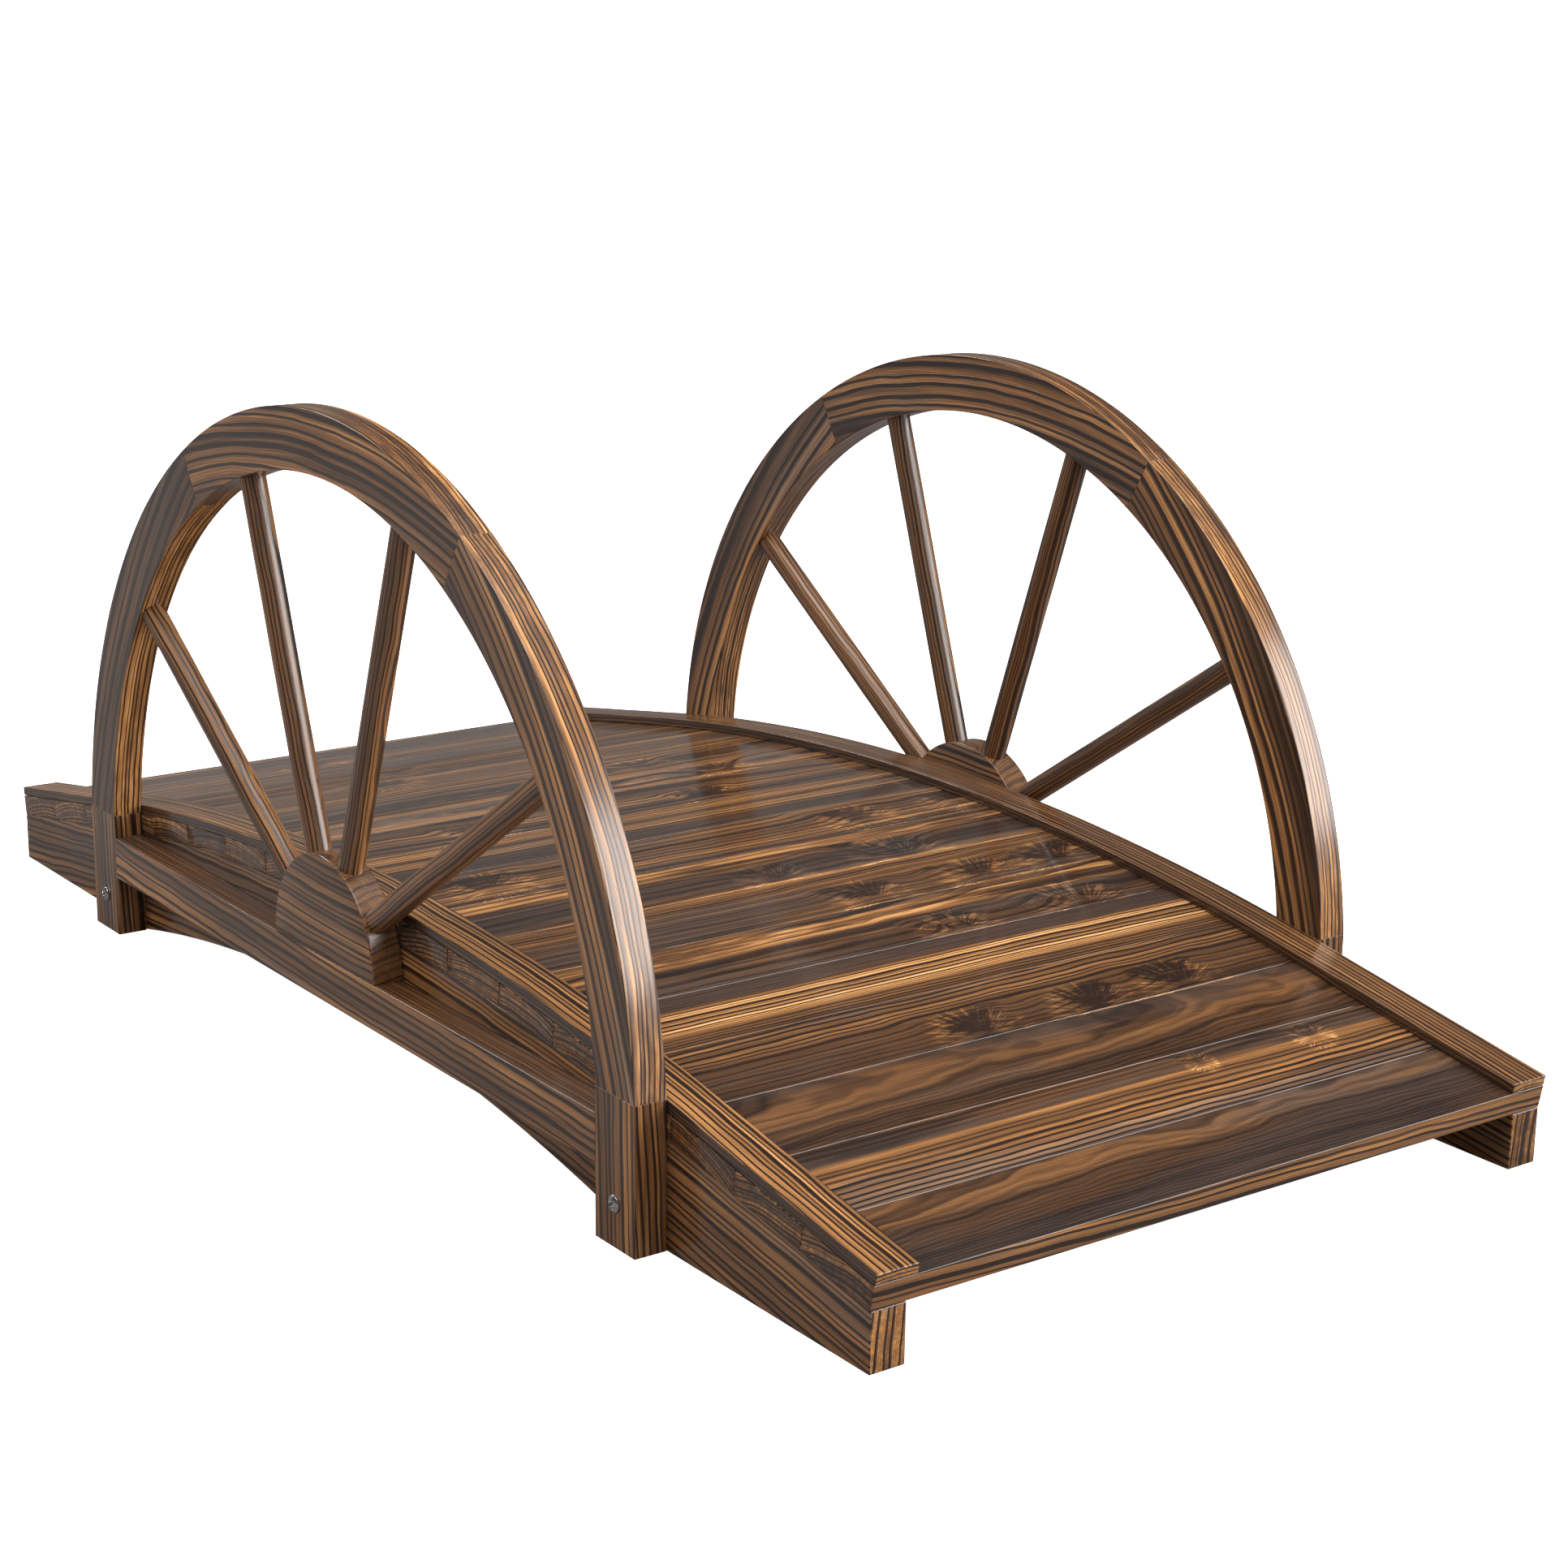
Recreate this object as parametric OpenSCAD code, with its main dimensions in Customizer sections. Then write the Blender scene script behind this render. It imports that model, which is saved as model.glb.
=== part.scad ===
// Arched wooden garden footbridge: slatted deck on two sawn stringers,
// with a half wagon wheel as the railing on each side.
// X runs along the bridge, Y across it and Z up. The origin is on the ground under its middle.

/* [Stringers] */
// Length of each stringer along the ground
stringer_l = 1000; // [900:10:1300]
// Thickness of each stringer
stringer_t = 21; // [18:1:32]
// Height of a stringer at its two ends
stringer_end_h = 32; // [24:1:48]
// Span of the hollow cut under each stringer
hollow_l = 596; // [400:2:620]
// Height of that hollow in the middle
hollow_h = 32; // [10:1:44]

/* [Deck] */
// Width of the deck, over the outer faces of the stringers
deck_w = 460; // [340:5:700]
// Length of the curved part of the deck, between the two straight ramps
arch_l = 667; // [540:1:760]
// Slope of the two ramps, in degrees
ramp_angle = 9.75; // [8:0.25:12]
// Thickness of a deck board
board_t = 13.8; // [9:0.2:20]
// Number of boards on the curved part
arch_boards = 12; // [8:1:15]
// Number of boards on each ramp
ramp_boards = 3; // [2:1:4]
// Joint left between two boards
board_gap = 0.3; // [0.2:0.1:3]
// Chamfer along the top edges of a board
board_chamfer = 0.6; // [0.3:0.1:2]

/* [Kerbs] */
// Width of the strip along each edge of the deck
kerb_w = 26; // [18:1:50]
// Thickness of that strip
kerb_t = 6; // [4:0.5:14]

/* [Half wheels] */
// Outer radius of the rim
rim_r = 333.5; // [300:0.5:370]
// Width of the rim, measured along a spoke
rim_w = 36.7; // [26:0.1:50]
// Thickness of rim, posts, rail and hub
wheel_t = 19.5; // [17:0.5:30]
// Number of segments in each rim
felloe_count = 3; // [2:1:4]
// Height of the joint between post and rim
post_h = 82; // [76:1:110]
// Height of the underside of the bottom rail
rail_z = 39.5; // [30:0.5:46]
// Height of the bottom rail itself
rail_h = 27.5; // [20:0.5:34]
// Radius of the half-round hub block
hub_r = 61.5; // [50:0.5:80]
// Chamfer along the edges of rim, posts, rail and hub
edge_ease = 0.5; // [0.2:0.1:2]

/* [Spokes] */
// Number of spokes in each half wheel
spoke_count = 4; // [2:1:5]
// Diameter of a spoke
spoke_d = 15.6; // [10:0.1:16]
// Depth to which a spoke enters the hub and the rim
socket_depth = 10; // [6:0.5:16]
// Clearance round a spoke in its socket, measured on the radius
socket_clear = 0.15; // [0.1:0.05:0.3]
// Space left in a socket beyond the end of the spoke
socket_end_clear = 0.3; // [0.2:0.1:0.6]

/* [Screws] */
// Height of the screw in each post
screw_z = 24; // [14:1:30]
// Diameter of a screw's shank
screw_d = 4.2; // [3:0.1:6]
// Diameter of a screw's head
screw_head_d = 9.4; // [7:0.1:12]
// Height of a screw's head
screw_head_h = 2.6; // [1.8:0.1:4]
// Length of screw that is held in the stringer
screw_bite = 15; // [8:0.5:16]
// Clearance round a screw in its hole, measured on the radius
screw_clear = 0.1; // [0.1:0.05:0.4]
// Width of the cross recess in a screw's head
recess_w = 1.3; // [0.8:0.1:1.8]
// Depth of that recess
recess_deep = 1.2; // [0.6:0.1:1.5]

/* [Hidden] */
$fn = 96;
// Fineness of the long, flat curves
arc_fn = 720;
// How far a cutting shape runs past what it cuts
over = 5;

// Curve of the deck: an arc with a straight ramp tangent to it at each end
arch_half = arch_l / 2;
arch_r = arch_half / sin(ramp_angle);
ramp_run = stringer_l / 2 - arch_half;
ramp_l = ramp_run / cos(ramp_angle);
// Height of a stringer where the ramp begins, and in the middle
spring_z = stringer_end_h + ramp_run * tan(ramp_angle);
crown_z = spring_z + arch_r * (1 - cos(ramp_angle));
arch_centre_z = crown_z - arch_r;

// Boards: their step, their width and the level that their corners reach
arch_step = 2 * ramp_angle / arch_boards;
arch_pitch = 2 * arch_r * tan(arch_step / 2);
ramp_pitch = ramp_l / ramp_boards;
arch_board_w = arch_pitch - board_gap;
ramp_board_w = ramp_pitch - board_gap;
board_count = arch_boards + 2 * ramp_boards;
kerb_lift = norm([arch_r + board_t, arch_board_w / 2 - board_chamfer]) - arch_r;

// Hollow under the stringers
hollow_half = hollow_l / 2;
hollow_r = (hollow_half * hollow_half + hollow_h * hollow_h) / (2 * hollow_h);

// Half wheel: its centre is on the middle line of the rail, and its hub stands on the rail
rim_z = rail_z + rail_h / 2;
rim_inner_r = rim_r - rim_w;
hub_lift = rail_h / 2;
post_inner_x = sqrt(rim_inner_r * rim_inner_r - (post_h - rim_z) * (post_h - rim_z));
post_outer_x = sqrt(rim_r * rim_r - (post_h - rim_z) * (post_h - rim_z));
screw_x = (post_inner_x + post_outer_x) / 2;
screw_l = wheel_t + screw_bite;
felloe_angle = 180 / felloe_count;

dark_fir = [0.27, 0.18, 0.12];
brown_fir = [0.36, 0.24, 0.15];
tan_fir = [0.46, 0.31, 0.19];
bright_steel = [0.78, 0.78, 0.80];

function spoke_target(k) =
    let (a = 180 * k / (spoke_count + 1))
    rim_inner_r * [cos(a), sin(a)] - [0, hub_lift];
function spoke_angle(k) = atan2(spoke_target(k)[1], spoke_target(k)[0]);
function two_digits(i) = i < 10 ? str("0", i) : str(i);
function board_name(i) = str("deck_board_", two_digits(i));

sides = ["right", "left"];

// Draws its children on the right side, or mirrored on the left side
module on_side(s) {
    mirror([0, s == "left" ? 1 : 0, 0]) children();
}

// Draws its children from the outer face of the right stringer outwards,
// in the plane of the half wheel, with the wheel's centre as the origin
module in_wheel(lift = rim_z) {
    translate([0, -deck_w / 2, lift]) rotate([90, 0, 0]) children();
}

// Turns its children about the centre of the deck's arch
module round_arch(angle) {
    translate([0, 0, arch_centre_z]) rotate([0, angle, 0]) children();
}

// Area under the line of the deck, raised by lift and run on past each end
module under_line(lift, past = 0) {
    raise = lift * [sin(ramp_angle), cos(ramp_angle)];
    toe = [stringer_l / 2, stringer_end_h] + raise + past * [cos(ramp_angle), -sin(ramp_angle)];
    spring = [arch_half, spring_z] + raise;
    polygon([
        [-toe[0], 0], [toe[0], 0], toe,
        spring, [-spring[0], spring[1]], [-toe[0], toe[1]]
    ]);
    intersection() {
        translate([0, arch_centre_z]) circle(r = arch_r + lift, $fn = arc_fn);
        translate([-spring[0], spring[1]]) square([2 * spring[0], crown_z]);
    }
}

// Side outline of a stringer: the curved top, the two feet and the hollow between them
module stringer_outline() {
    difference() {
        under_line(0);
        translate([0, hollow_h - hollow_r]) circle(r = hollow_r, $fn = arc_fn);
    }
}

// Side outline of a kerb, cut square to the ramps at both ends
module kerb_outline() {
    difference() {
        under_line(kerb_lift + kerb_t, over);
        under_line(kerb_lift, 2 * over);
        for (side = [0, 1]) mirror([side, 0]) translate([stringer_l / 2, stringer_end_h])
            rotate(-ramp_angle) square([3 * over, kerb_lift + kerb_t + over]);
    }
}

module stringer(s) {
    color(brown_fir) on_side(s) difference() {
        translate([0, stringer_t - deck_w / 2, 0]) rotate([90, 0, 0])
            linear_extrude(stringer_t) stringer_outline();
        for (x = [-screw_x, screw_x]) screw_hole(x);
    }
}

// Section of a deck board, chamfered along its top edges
module board_section(w) {
    c = board_chamfer;
    polygon([
        [-w / 2, 0], [w / 2, 0], [w / 2, board_t - c],
        [w / 2 - c, board_t], [c - w / 2, board_t], [-w / 2, board_t - c]
    ]);
}

module board_blank(w) {
    translate([0, deck_w / 2, 0]) rotate([90, 0, 0]) linear_extrude(deck_w) board_section(w);
}

// One deck board, counted from the back end: its place is on a ramp or on the arch
module deck_board(i) {
    from_arch = i - ramp_boards;
    past_arch = from_arch - arch_boards;
    color(i % 2 == 0 ? brown_fir : dark_fir)
    if (from_arch < 1)
        round_arch(-ramp_angle)
            translate([(from_arch - 0.5) * ramp_pitch, 0, arch_r]) board_blank(ramp_board_w);
    else if (past_arch > 0)
        round_arch(ramp_angle)
            translate([(past_arch - 0.5) * ramp_pitch, 0, arch_r]) board_blank(ramp_board_w);
    else
        round_arch((from_arch - 0.5) * arch_step - ramp_angle)
            translate([0, 0, arch_r]) board_blank(arch_board_w);
}

// Strip on the boards along one edge of the deck
module kerb(s) {
    color(tan_fir) on_side(s) translate([0, kerb_w - deck_w / 2, 0]) rotate([90, 0, 0])
        linear_extrude(kerb_w) kerb_outline();
}

// Section of a bar of the half wheel, with its four corners chamfered
module eased_section(w, h) {
    c = edge_ease;
    polygon([
        [c, 0], [w - c, 0], [w, c], [w, h - c],
        [w - c, h], [c, h], [0, h - c], [0, c]
    ]);
}

// Socket for a spoke, drilled along the spoke from a start to an end distance from the hub's centre
module socket(k, start, stop) {
    translate([0, hub_lift, wheel_t / 2]) rotate([0, 90, spoke_angle(k)])
        translate([0, 0, start]) cylinder(d = spoke_d + 2 * socket_clear, h = stop - start);
}

// One segment of a rim, counted from the front end
module felloe(s, i) {
    color(i % 2 == 0 ? brown_fir : tan_fir) on_side(s) in_wheel() difference() {
        rotate([0, 0, (i - 1) * felloe_angle]) rotate_extrude(angle = felloe_angle, $fn = arc_fn)
            translate([rim_inner_r, 0]) eased_section(rim_w, wheel_t);
        translate([-2 * rim_r, -rim_r, -over])
            cube([4 * rim_r, rim_r + post_h - rim_z, wheel_t + 2 * over]);
        for (k = [1 : spoke_count])
            let (reach = norm(spoke_target(k)))
            socket(k, reach - rim_w / 2, reach + socket_depth + socket_end_clear);
    }
}

module screw_hole(x) {
    translate([x, screw_bite + socket_end_clear - deck_w / 2, screw_z]) rotate([90, 0, 0])
        cylinder(r = screw_d / 2 + screw_clear, h = screw_l + over);
}

// Post under one end of a rim, with the screw that fixes it to the stringer
module post(s, end) {
    x = end == "front" ? post_inner_x : -post_outer_x;
    color(brown_fir) on_side(s) difference() {
        in_wheel(0) translate([x, post_h, 0]) rotate([90, 0, 0])
            linear_extrude(post_h) eased_section(post_outer_x - post_inner_x, wheel_t);
        screw_hole(end == "front" ? screw_x : -screw_x);
    }
}

// Straight rail between the two posts
module rail(s) {
    color(brown_fir) on_side(s) in_wheel(rail_z)
        translate([-post_inner_x, 0, 0]) rotate([90, 0, 90])
            linear_extrude(2 * post_inner_x) eased_section(rail_h, wheel_t);
}

// Section of the hub block, chamfered along its round side only
module hub_section() {
    c = edge_ease;
    polygon([
        [0, 0], [hub_r - c, 0], [hub_r, c],
        [hub_r, wheel_t - c], [hub_r - c, wheel_t], [0, wheel_t]
    ]);
}

// Half-round block that stands on the rail and holds the lower ends of the spokes
module hub(s) {
    color(brown_fir) on_side(s) in_wheel() difference() {
        translate([0, hub_lift, 0]) rotate_extrude(angle = 180, $fn = arc_fn) hub_section();
        for (k = [1 : spoke_count]) socket(k, hub_r - socket_depth - socket_end_clear, hub_r + over);
    }
}

// Round dowel from the hub to the rim
module spoke(s, k) {
    start = hub_r - socket_depth;
    color(tan_fir) on_side(s) in_wheel() translate([0, hub_lift, wheel_t / 2])
        rotate([0, 90, spoke_angle(k)]) translate([0, 0, start])
            cylinder(d = spoke_d, h = norm(spoke_target(k)) + socket_depth - start);
}

// One pan-head screw with a cross recess, its head on the outer face of a post
module post_screw() {
    rotate([90, 0, 0]) {
        translate([0, 0, -screw_bite]) cylinder(d = screw_d, h = screw_l);
        translate([0, 0, wheel_t]) difference() {
            cylinder(d = screw_head_d, h = screw_head_h);
            for (a = [0, 90]) rotate([0, 0, a])
                translate([-screw_head_d / 4, -recess_w / 2, screw_head_h - recess_deep])
                    cube([screw_head_d / 2, recess_w, recess_deep + over]);
        }
    }
}

// The four screws, one in each post
module post_screws() {
    color(bright_steel) for (s = sides) on_side(s) for (x = [-screw_x, screw_x])
        translate([x, -deck_w / 2, screw_z]) post_screw();
}

for (s = sides) stringer(s);
for (i = [1 : board_count]) deck_board(i);
for (s = sides) kerb(s);
for (s = sides) for (i = [1 : felloe_count])
    felloe(s, i);
for (s = sides) for (e = ["front", "back"])
    post(s, e);
for (s = sides) rail(s);
for (s = sides) hub(s);
for (s = sides) for (k = [1 : spoke_count])
    spoke(s, k);
post_screws();
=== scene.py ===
"""Wooden garden footbridge with half wagon wheel railings: its timbers, their figure and varnish.

Every timber is planed as a straight bar on a grid, in its own measures (along, side, up), and then
a formula sets it or bends it into its place in the bridge. Lengths are in metres.
"""

import bpy
import numpy as np
from mathutils import Matrix, Vector


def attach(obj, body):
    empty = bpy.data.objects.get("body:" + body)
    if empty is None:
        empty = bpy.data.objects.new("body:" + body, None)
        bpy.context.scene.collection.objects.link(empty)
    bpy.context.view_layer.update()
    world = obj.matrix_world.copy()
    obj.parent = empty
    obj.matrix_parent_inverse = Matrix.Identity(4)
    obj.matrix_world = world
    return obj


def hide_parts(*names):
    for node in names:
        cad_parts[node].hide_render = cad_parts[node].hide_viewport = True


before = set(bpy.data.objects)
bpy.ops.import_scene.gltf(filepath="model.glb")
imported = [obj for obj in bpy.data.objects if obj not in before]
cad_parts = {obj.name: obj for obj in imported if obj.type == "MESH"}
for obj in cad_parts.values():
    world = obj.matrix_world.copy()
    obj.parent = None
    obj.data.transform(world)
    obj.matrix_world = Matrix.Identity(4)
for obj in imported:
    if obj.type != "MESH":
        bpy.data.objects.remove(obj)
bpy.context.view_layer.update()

MM = 0.001
chooser = np.random.default_rng(41)

# The bridge's own sizes, the same as in the CAD model
stringer_length = 1000 * MM
stringer_thick = 21 * MM
stringer_end_high = 32 * MM
hollow_length = 596 * MM
hollow_high = 32 * MM
deck_wide = 460 * MM
arch_length = 667 * MM
ramp_angle = np.radians(9.75)
board_thick = 13.8 * MM
arch_boards = 12
ramp_boards = 3
board_gap = 0.3 * MM
kerb_wide = 26 * MM
kerb_thick = 6 * MM
rim_radius = 333.5 * MM
rim_wide = 36.7 * MM
wheel_thick = 19.5 * MM
felloe_count = 3
post_high = 82 * MM
rail_low = 39.5 * MM
rail_high = 27.5 * MM
hub_radius = 61.5 * MM
spoke_count = 4
spoke_thick = 15.6 * MM
socket_depth = 10 * MM
screw_level = 24 * MM
screw_thick = 4.2 * MM
screw_head_wide = 9.4 * MM
screw_head_high = 2.6 * MM
screw_bite = 15 * MM
recess_wide = 1.3 * MM
recess_deep = 1.2 * MM
# Rounding of the timbers' edges, and of their ends where two meet
edge_ease = 0.6 * MM
hub_ease = 0.9 * MM
joint_ease = 0.15 * MM
# Boards whose edges shine are rounded more than the others
board_ease = 0.6 * MM
dull_ease = 0.2 * MM
bright_edges = (13, 15, 16, 17, 18)
# Distance from a rounding to the next line of points, which keeps the flats flat
close_line = 0.9 * MM
# How far planed faces are uneven, at most
planed_waves = 0.10 * MM
board_waves = 0.12 * MM
# Distance between the rings of points along a timber
ring_step = 8 * MM
rim_step = 4 * MM
spoke_step = 6 * MM

arch_half = arch_length / 2
arch_radius = arch_half / np.sin(ramp_angle)
ramp_run = stringer_length / 2 - arch_half
ramp_length = ramp_run / np.cos(ramp_angle)
spring_level = stringer_end_high + ramp_run * np.tan(ramp_angle)
crown_level = spring_level + arch_radius * (1 - np.cos(ramp_angle))
arch_centre = crown_level - arch_radius
arch_step = 2 * ramp_angle / arch_boards
arch_pitch = 2 * arch_radius * np.tan(arch_step / 2)
ramp_pitch = ramp_length / ramp_boards
board_count = arch_boards + 2 * ramp_boards
kerb_lift = np.hypot(arch_radius + board_thick, (arch_pitch - board_gap) / 2 - board_ease) - arch_radius
hollow_half = hollow_length / 2
hollow_radius = (hollow_half ** 2 + hollow_high ** 2) / (2 * hollow_high)
rim_level = rail_low + rail_high / 2
rim_inner = rim_radius - rim_wide
rim_middle = rim_radius - rim_wide / 2
hub_level = rim_level + rail_high / 2
post_inner = np.sqrt(rim_inner ** 2 - (post_high - rim_level) ** 2)
post_outer = np.sqrt(rim_radius ** 2 - (post_high - rim_level) ** 2)
post_middle = (post_inner + post_outer) / 2
wheel_middle = deck_wide / 2 + wheel_thick / 2
outward = {"right": -1, "left": 1}


# Shapes

def flat_points(half, ease, count):
    """Points on a flat between two eased edges, as shares of the half width from -1 to 1: evenly
    spread, and one more at the distance close_line from each edge."""
    close = 1 - close_line / (half - ease)
    even = np.linspace(-1, 1, count + 2)[1:-1]
    return np.concatenate([[-close], even[np.abs(even) < close - 0.05], [close]])


def eased_loop(side_run, top_run, corner_steps=3):
    """Section of a bar, anticlockwise from the +side face: each point has a place on the core
    rectangle (square, from -1 to 1) and a direction of rounding (compass), so that
    point = core * square + ease * compass. Each corner turns the compass through a quarter circle."""
    turn = np.linspace(0, np.pi / 2, corner_steps + 1)[:, None]
    square, compass = [], []
    for quarter, run in enumerate((side_run, top_run, side_run, top_run)):
        out = np.round([np.cos(quarter * np.pi / 2), np.sin(quarter * np.pi / 2)])
        onward = np.array([-out[1], out[0]])
        square += [out + run[:, None] * onward, np.repeat([out + onward], corner_steps + 1, 0)]
        compass += [np.repeat([out], len(run), 0), np.cos(turn) * out + np.sin(turn) * onward]
    return np.concatenate(square), np.concatenate(compass)


def end_profile(ease):
    """Rounding of a bar's end: at swing w from the end face (90 degrees) to the side (0), a ring lies
    ease * (1 - sin w) along the bar and is drawn in by ease * (1 - cos w)."""
    swing = np.radians([90, 60, 30, 0])
    return ease * (1 - np.sin(swing)), ease * (1 - np.cos(swing))


def stations(length, end_ease, middle):
    """Places of a bar's rings along it, how far each is drawn in, and its scale: the cap's inner ring
    (scale one half), the rounding of the end, one ring close behind it, then the middle ones."""
    along, inset = end_profile(end_ease)
    near, apart = end_ease + close_line, 0.3 * MM
    middle = middle[(middle > near + apart) & (middle < length - near - apart)]
    place = np.concatenate([[0], along, [near], middle, [length - near], length - along[::-1], [length]])
    still = np.zeros(len(middle) + 2)
    draw = np.concatenate([[inset[0]], inset, still, inset[::-1], [inset[0]]])
    scale = np.ones(len(place))
    scale[[0, -1]] = 0.5
    return place, draw, scale


def planed_bar(length, wide, high, ease, end_ease, step, side_points=4, top_points=6, stops=()):
    """Straight timber with eased edges and ends. At ring i, section point j:
    (along, side, up) = (place_i, scale_i * (core_side * square + ease * compass), the same for up),
    with core = half size - ease - draw_i. Each stop has a ring and two more beside it. Returns the rings,
    the two poles and the compass."""
    beside, crowded = 1.2 * MM, 1.0 * MM
    even = np.linspace(0, length, max(3, int(round(length / step)) + 1))
    extra = np.array([s + d for s in stops for d in (-beside, 0, beside)])
    middle = np.unique(np.concatenate([even, extra]))
    if len(extra):
        clash = np.min(np.abs(middle[:, None] - extra[None, :]), axis=1)
        middle = middle[(clash < 1e-9) | (clash > crowded)]
    place, draw, scale = stations(length, end_ease, middle)
    square, compass = eased_loop(flat_points(high / 2, ease, side_points),
                                 flat_points(wide / 2, ease, top_points))
    core = np.array([wide / 2, high / 2]) - ease
    across = scale[:, None, None] * ((core - draw[:, None, None]) * square + ease * compass)
    rings = np.concatenate([np.broadcast_to(place[:, None, None], across.shape[:2] + (1,)), across], axis=2)
    poles = np.array([[0, 0, 0], [length, 0, 0]], float)
    return rings, poles, compass


def turned_bar(length, thick, step, points=40):
    """Round timber: ring i is a circle of half the thickness, drawn in at the ends by their rounding."""
    place, draw, scale = stations(length, joint_ease, np.linspace(0, length, int(length / step) + 2))
    angle = np.linspace(0, 2 * np.pi, points, endpoint=False)
    compass = np.stack([np.cos(angle), np.sin(angle)], axis=1)
    across = (scale * (thick / 2 - draw))[:, None, None] * compass
    rings = np.concatenate([np.broadcast_to(place[:, None, None], across.shape[:2] + (1,)), across], axis=2)
    return rings, np.array([[0, 0, 0], [length, 0, 0]], float), compass


def half_round_block(radius, thick, ease):
    """Half disc on its flat side. Ring i is the outline drawn in by d: an arc of radius - d, from
    asin(d / (radius - d)) to its mirror image, closed by a line at height d."""
    place, draw, scale = stations(thick, ease, np.linspace(0, thick, 5))
    share = np.concatenate([[0, 0.004, 0.012], np.linspace(0.02, 0.98, 90), [0.988, 0.996, 1]])
    line = np.concatenate([[-0.985], np.linspace(-0.93, 0.93, 12), [0.985]])
    inner = (radius - draw)[:, None]
    low = np.arcsin(draw[:, None] / inner)
    angle = low + share * (np.pi - 2 * low)
    side = np.concatenate([inner * np.cos(angle), inner * np.cos(low) * line], axis=1)
    base = np.broadcast_to(draw[:, None], (len(draw), len(line)))
    up = np.concatenate([inner * np.sin(angle), base], axis=1)
    middle = 0.4 * radius
    side, up = side * scale[:, None], middle + (up - middle) * scale[:, None]
    rings = np.stack([np.broadcast_to(place[:, None], side.shape), side, up], axis=2)
    arc = np.stack([np.cos(np.pi * share), np.sin(np.pi * share)], axis=1)
    compass = np.concatenate([arc, [[0, -1]] * len(line)])
    return rings, np.array([[0, 0, middle], [thick, 0, middle]]), compass


def bar_faces(ring_count, point_count):
    """Faces of a closed bar: quads between rings, and a fan of triangles from each pole."""
    i = np.arange(ring_count - 1)[:, None] * point_count
    j = np.arange(point_count)
    k = (j + 1) % point_count
    quads = np.stack([i + j, i + k, i + point_count + k, i + point_count + j], axis=-1).reshape(-1, 4)
    first = ring_count * point_count
    last = (ring_count - 1) * point_count
    fans = np.concatenate([
        np.stack([np.full(point_count, first), k, j], axis=1),
        np.stack([np.full(point_count, first + 1), last + j, last + k], axis=1)])
    return quads, fans


def face(across, deep, gap, tone, contrast=1.0, smoke=0.0, smear=0.0, slope=0.0):
    """How the figure shows on one kind of face: where the pith of the log lies and the gap of its rings,
    in millimetres, the slope of the pith, the tone, and the strength of the rings, of smoke and of smears."""
    return np.array([across * MM, deep * MM, slope, gap * MM, tone, smoke, contrast, smear])


# A knot so far off and so small that it leaves no mark
no_knot = (9.0, 9.0, 0.001)


def add_timber(node, finish, bar, set_in, faces, grain=None, knots=(), profile=None, warp=0.0):
    """Puts a timber into the scene in place of its CAD node. set_in takes (along, side, up) to the
    bridge's own place, and grain takes it to the place in the log. faces says how the figure shows on
    the side faces, the top and underside, and the ends; profile changes it across the top. In side and
    up a point moves by half of warp * (slow wave - its share of the half size), so that a face moves
    inwards by 0 to warp."""
    rings, poles, compass = bar
    points = np.concatenate([rings.reshape(-1, 3), poles])
    quads, fans = bar_faces(*rings.shape[:2])
    log_place = points if grain is None else grain(points)
    seed = chooser.uniform(0, 90)
    if warp:
        half = (points.max(axis=0) - points.min(axis=0)) / 2
        inwards = (points - points.min(axis=0)) / half - 1
        points = points + 0.5 * warp * (slow_waves(points) - inwards) * [0, 1, 1]
    place = set_in(points)

    mesh = bpy.data.meshes.new(f"{node}_timber")
    mesh.from_pydata(place.tolist(), [], quads.tolist() + fans.tolist())
    mesh.shade_smooth()
    corners = np.concatenate([quads.ravel(), fans.ravel()])

    on_side = np.abs(compass[:, 0]) > np.abs(compass[:, 1])
    both = on_side & np.roll(on_side, -1)
    which = np.tile(np.where(both, 0, 1), len(rings) - 1)
    which[:len(both)] = which[-len(both):] = 2
    which = np.concatenate([np.repeat(which, 4), np.full(fans.size, 2)])
    table = np.array([faces.get("side", faces["top"]), faces["top"], faces.get("end", faces["top"])])
    looks = table[which]
    if profile is not None:
        top = which == 1
        looks[top, 4:] = profile(log_place[corners[top]])

    seeds = np.full(len(corners), seed)
    write_corners(mesh, "timber_place", log_place[corners])
    write_corners(mesh, "timber_cut", looks[:, :3])
    write_corners(mesh, "timber_kind", np.stack([looks[:, 3], seeds, looks[:, 4]], axis=1))
    write_corners(mesh, "timber_stain", looks[:, 5:])
    for label, knot in zip(("one", "two", "three"), (list(knots) + [no_knot] * 3)[:3]):
        write_corners(mesh, f"timber_knot_{label}", np.broadcast_to(knot, (len(corners), 3)))

    piece = new_object(f"{node}_timber", mesh)
    material, slot = finishes[finish]
    mesh.materials.append(material)
    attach(piece, "root")
    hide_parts(node)


def new_object(name, data):
    """Puts a mesh, a light or a camera into the scene."""
    thing = bpy.data.objects.new(name, data)
    bpy.context.scene.collection.objects.link(thing)
    return thing


def write_corners(mesh, name, values):
    """Stores one vector for each face corner of the mesh."""
    attribute = mesh.attributes.new(name, "FLOAT_VECTOR", "CORNER")
    attribute.data.foreach_set("vector", np.ascontiguousarray(values, dtype=np.float32).ravel())


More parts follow.
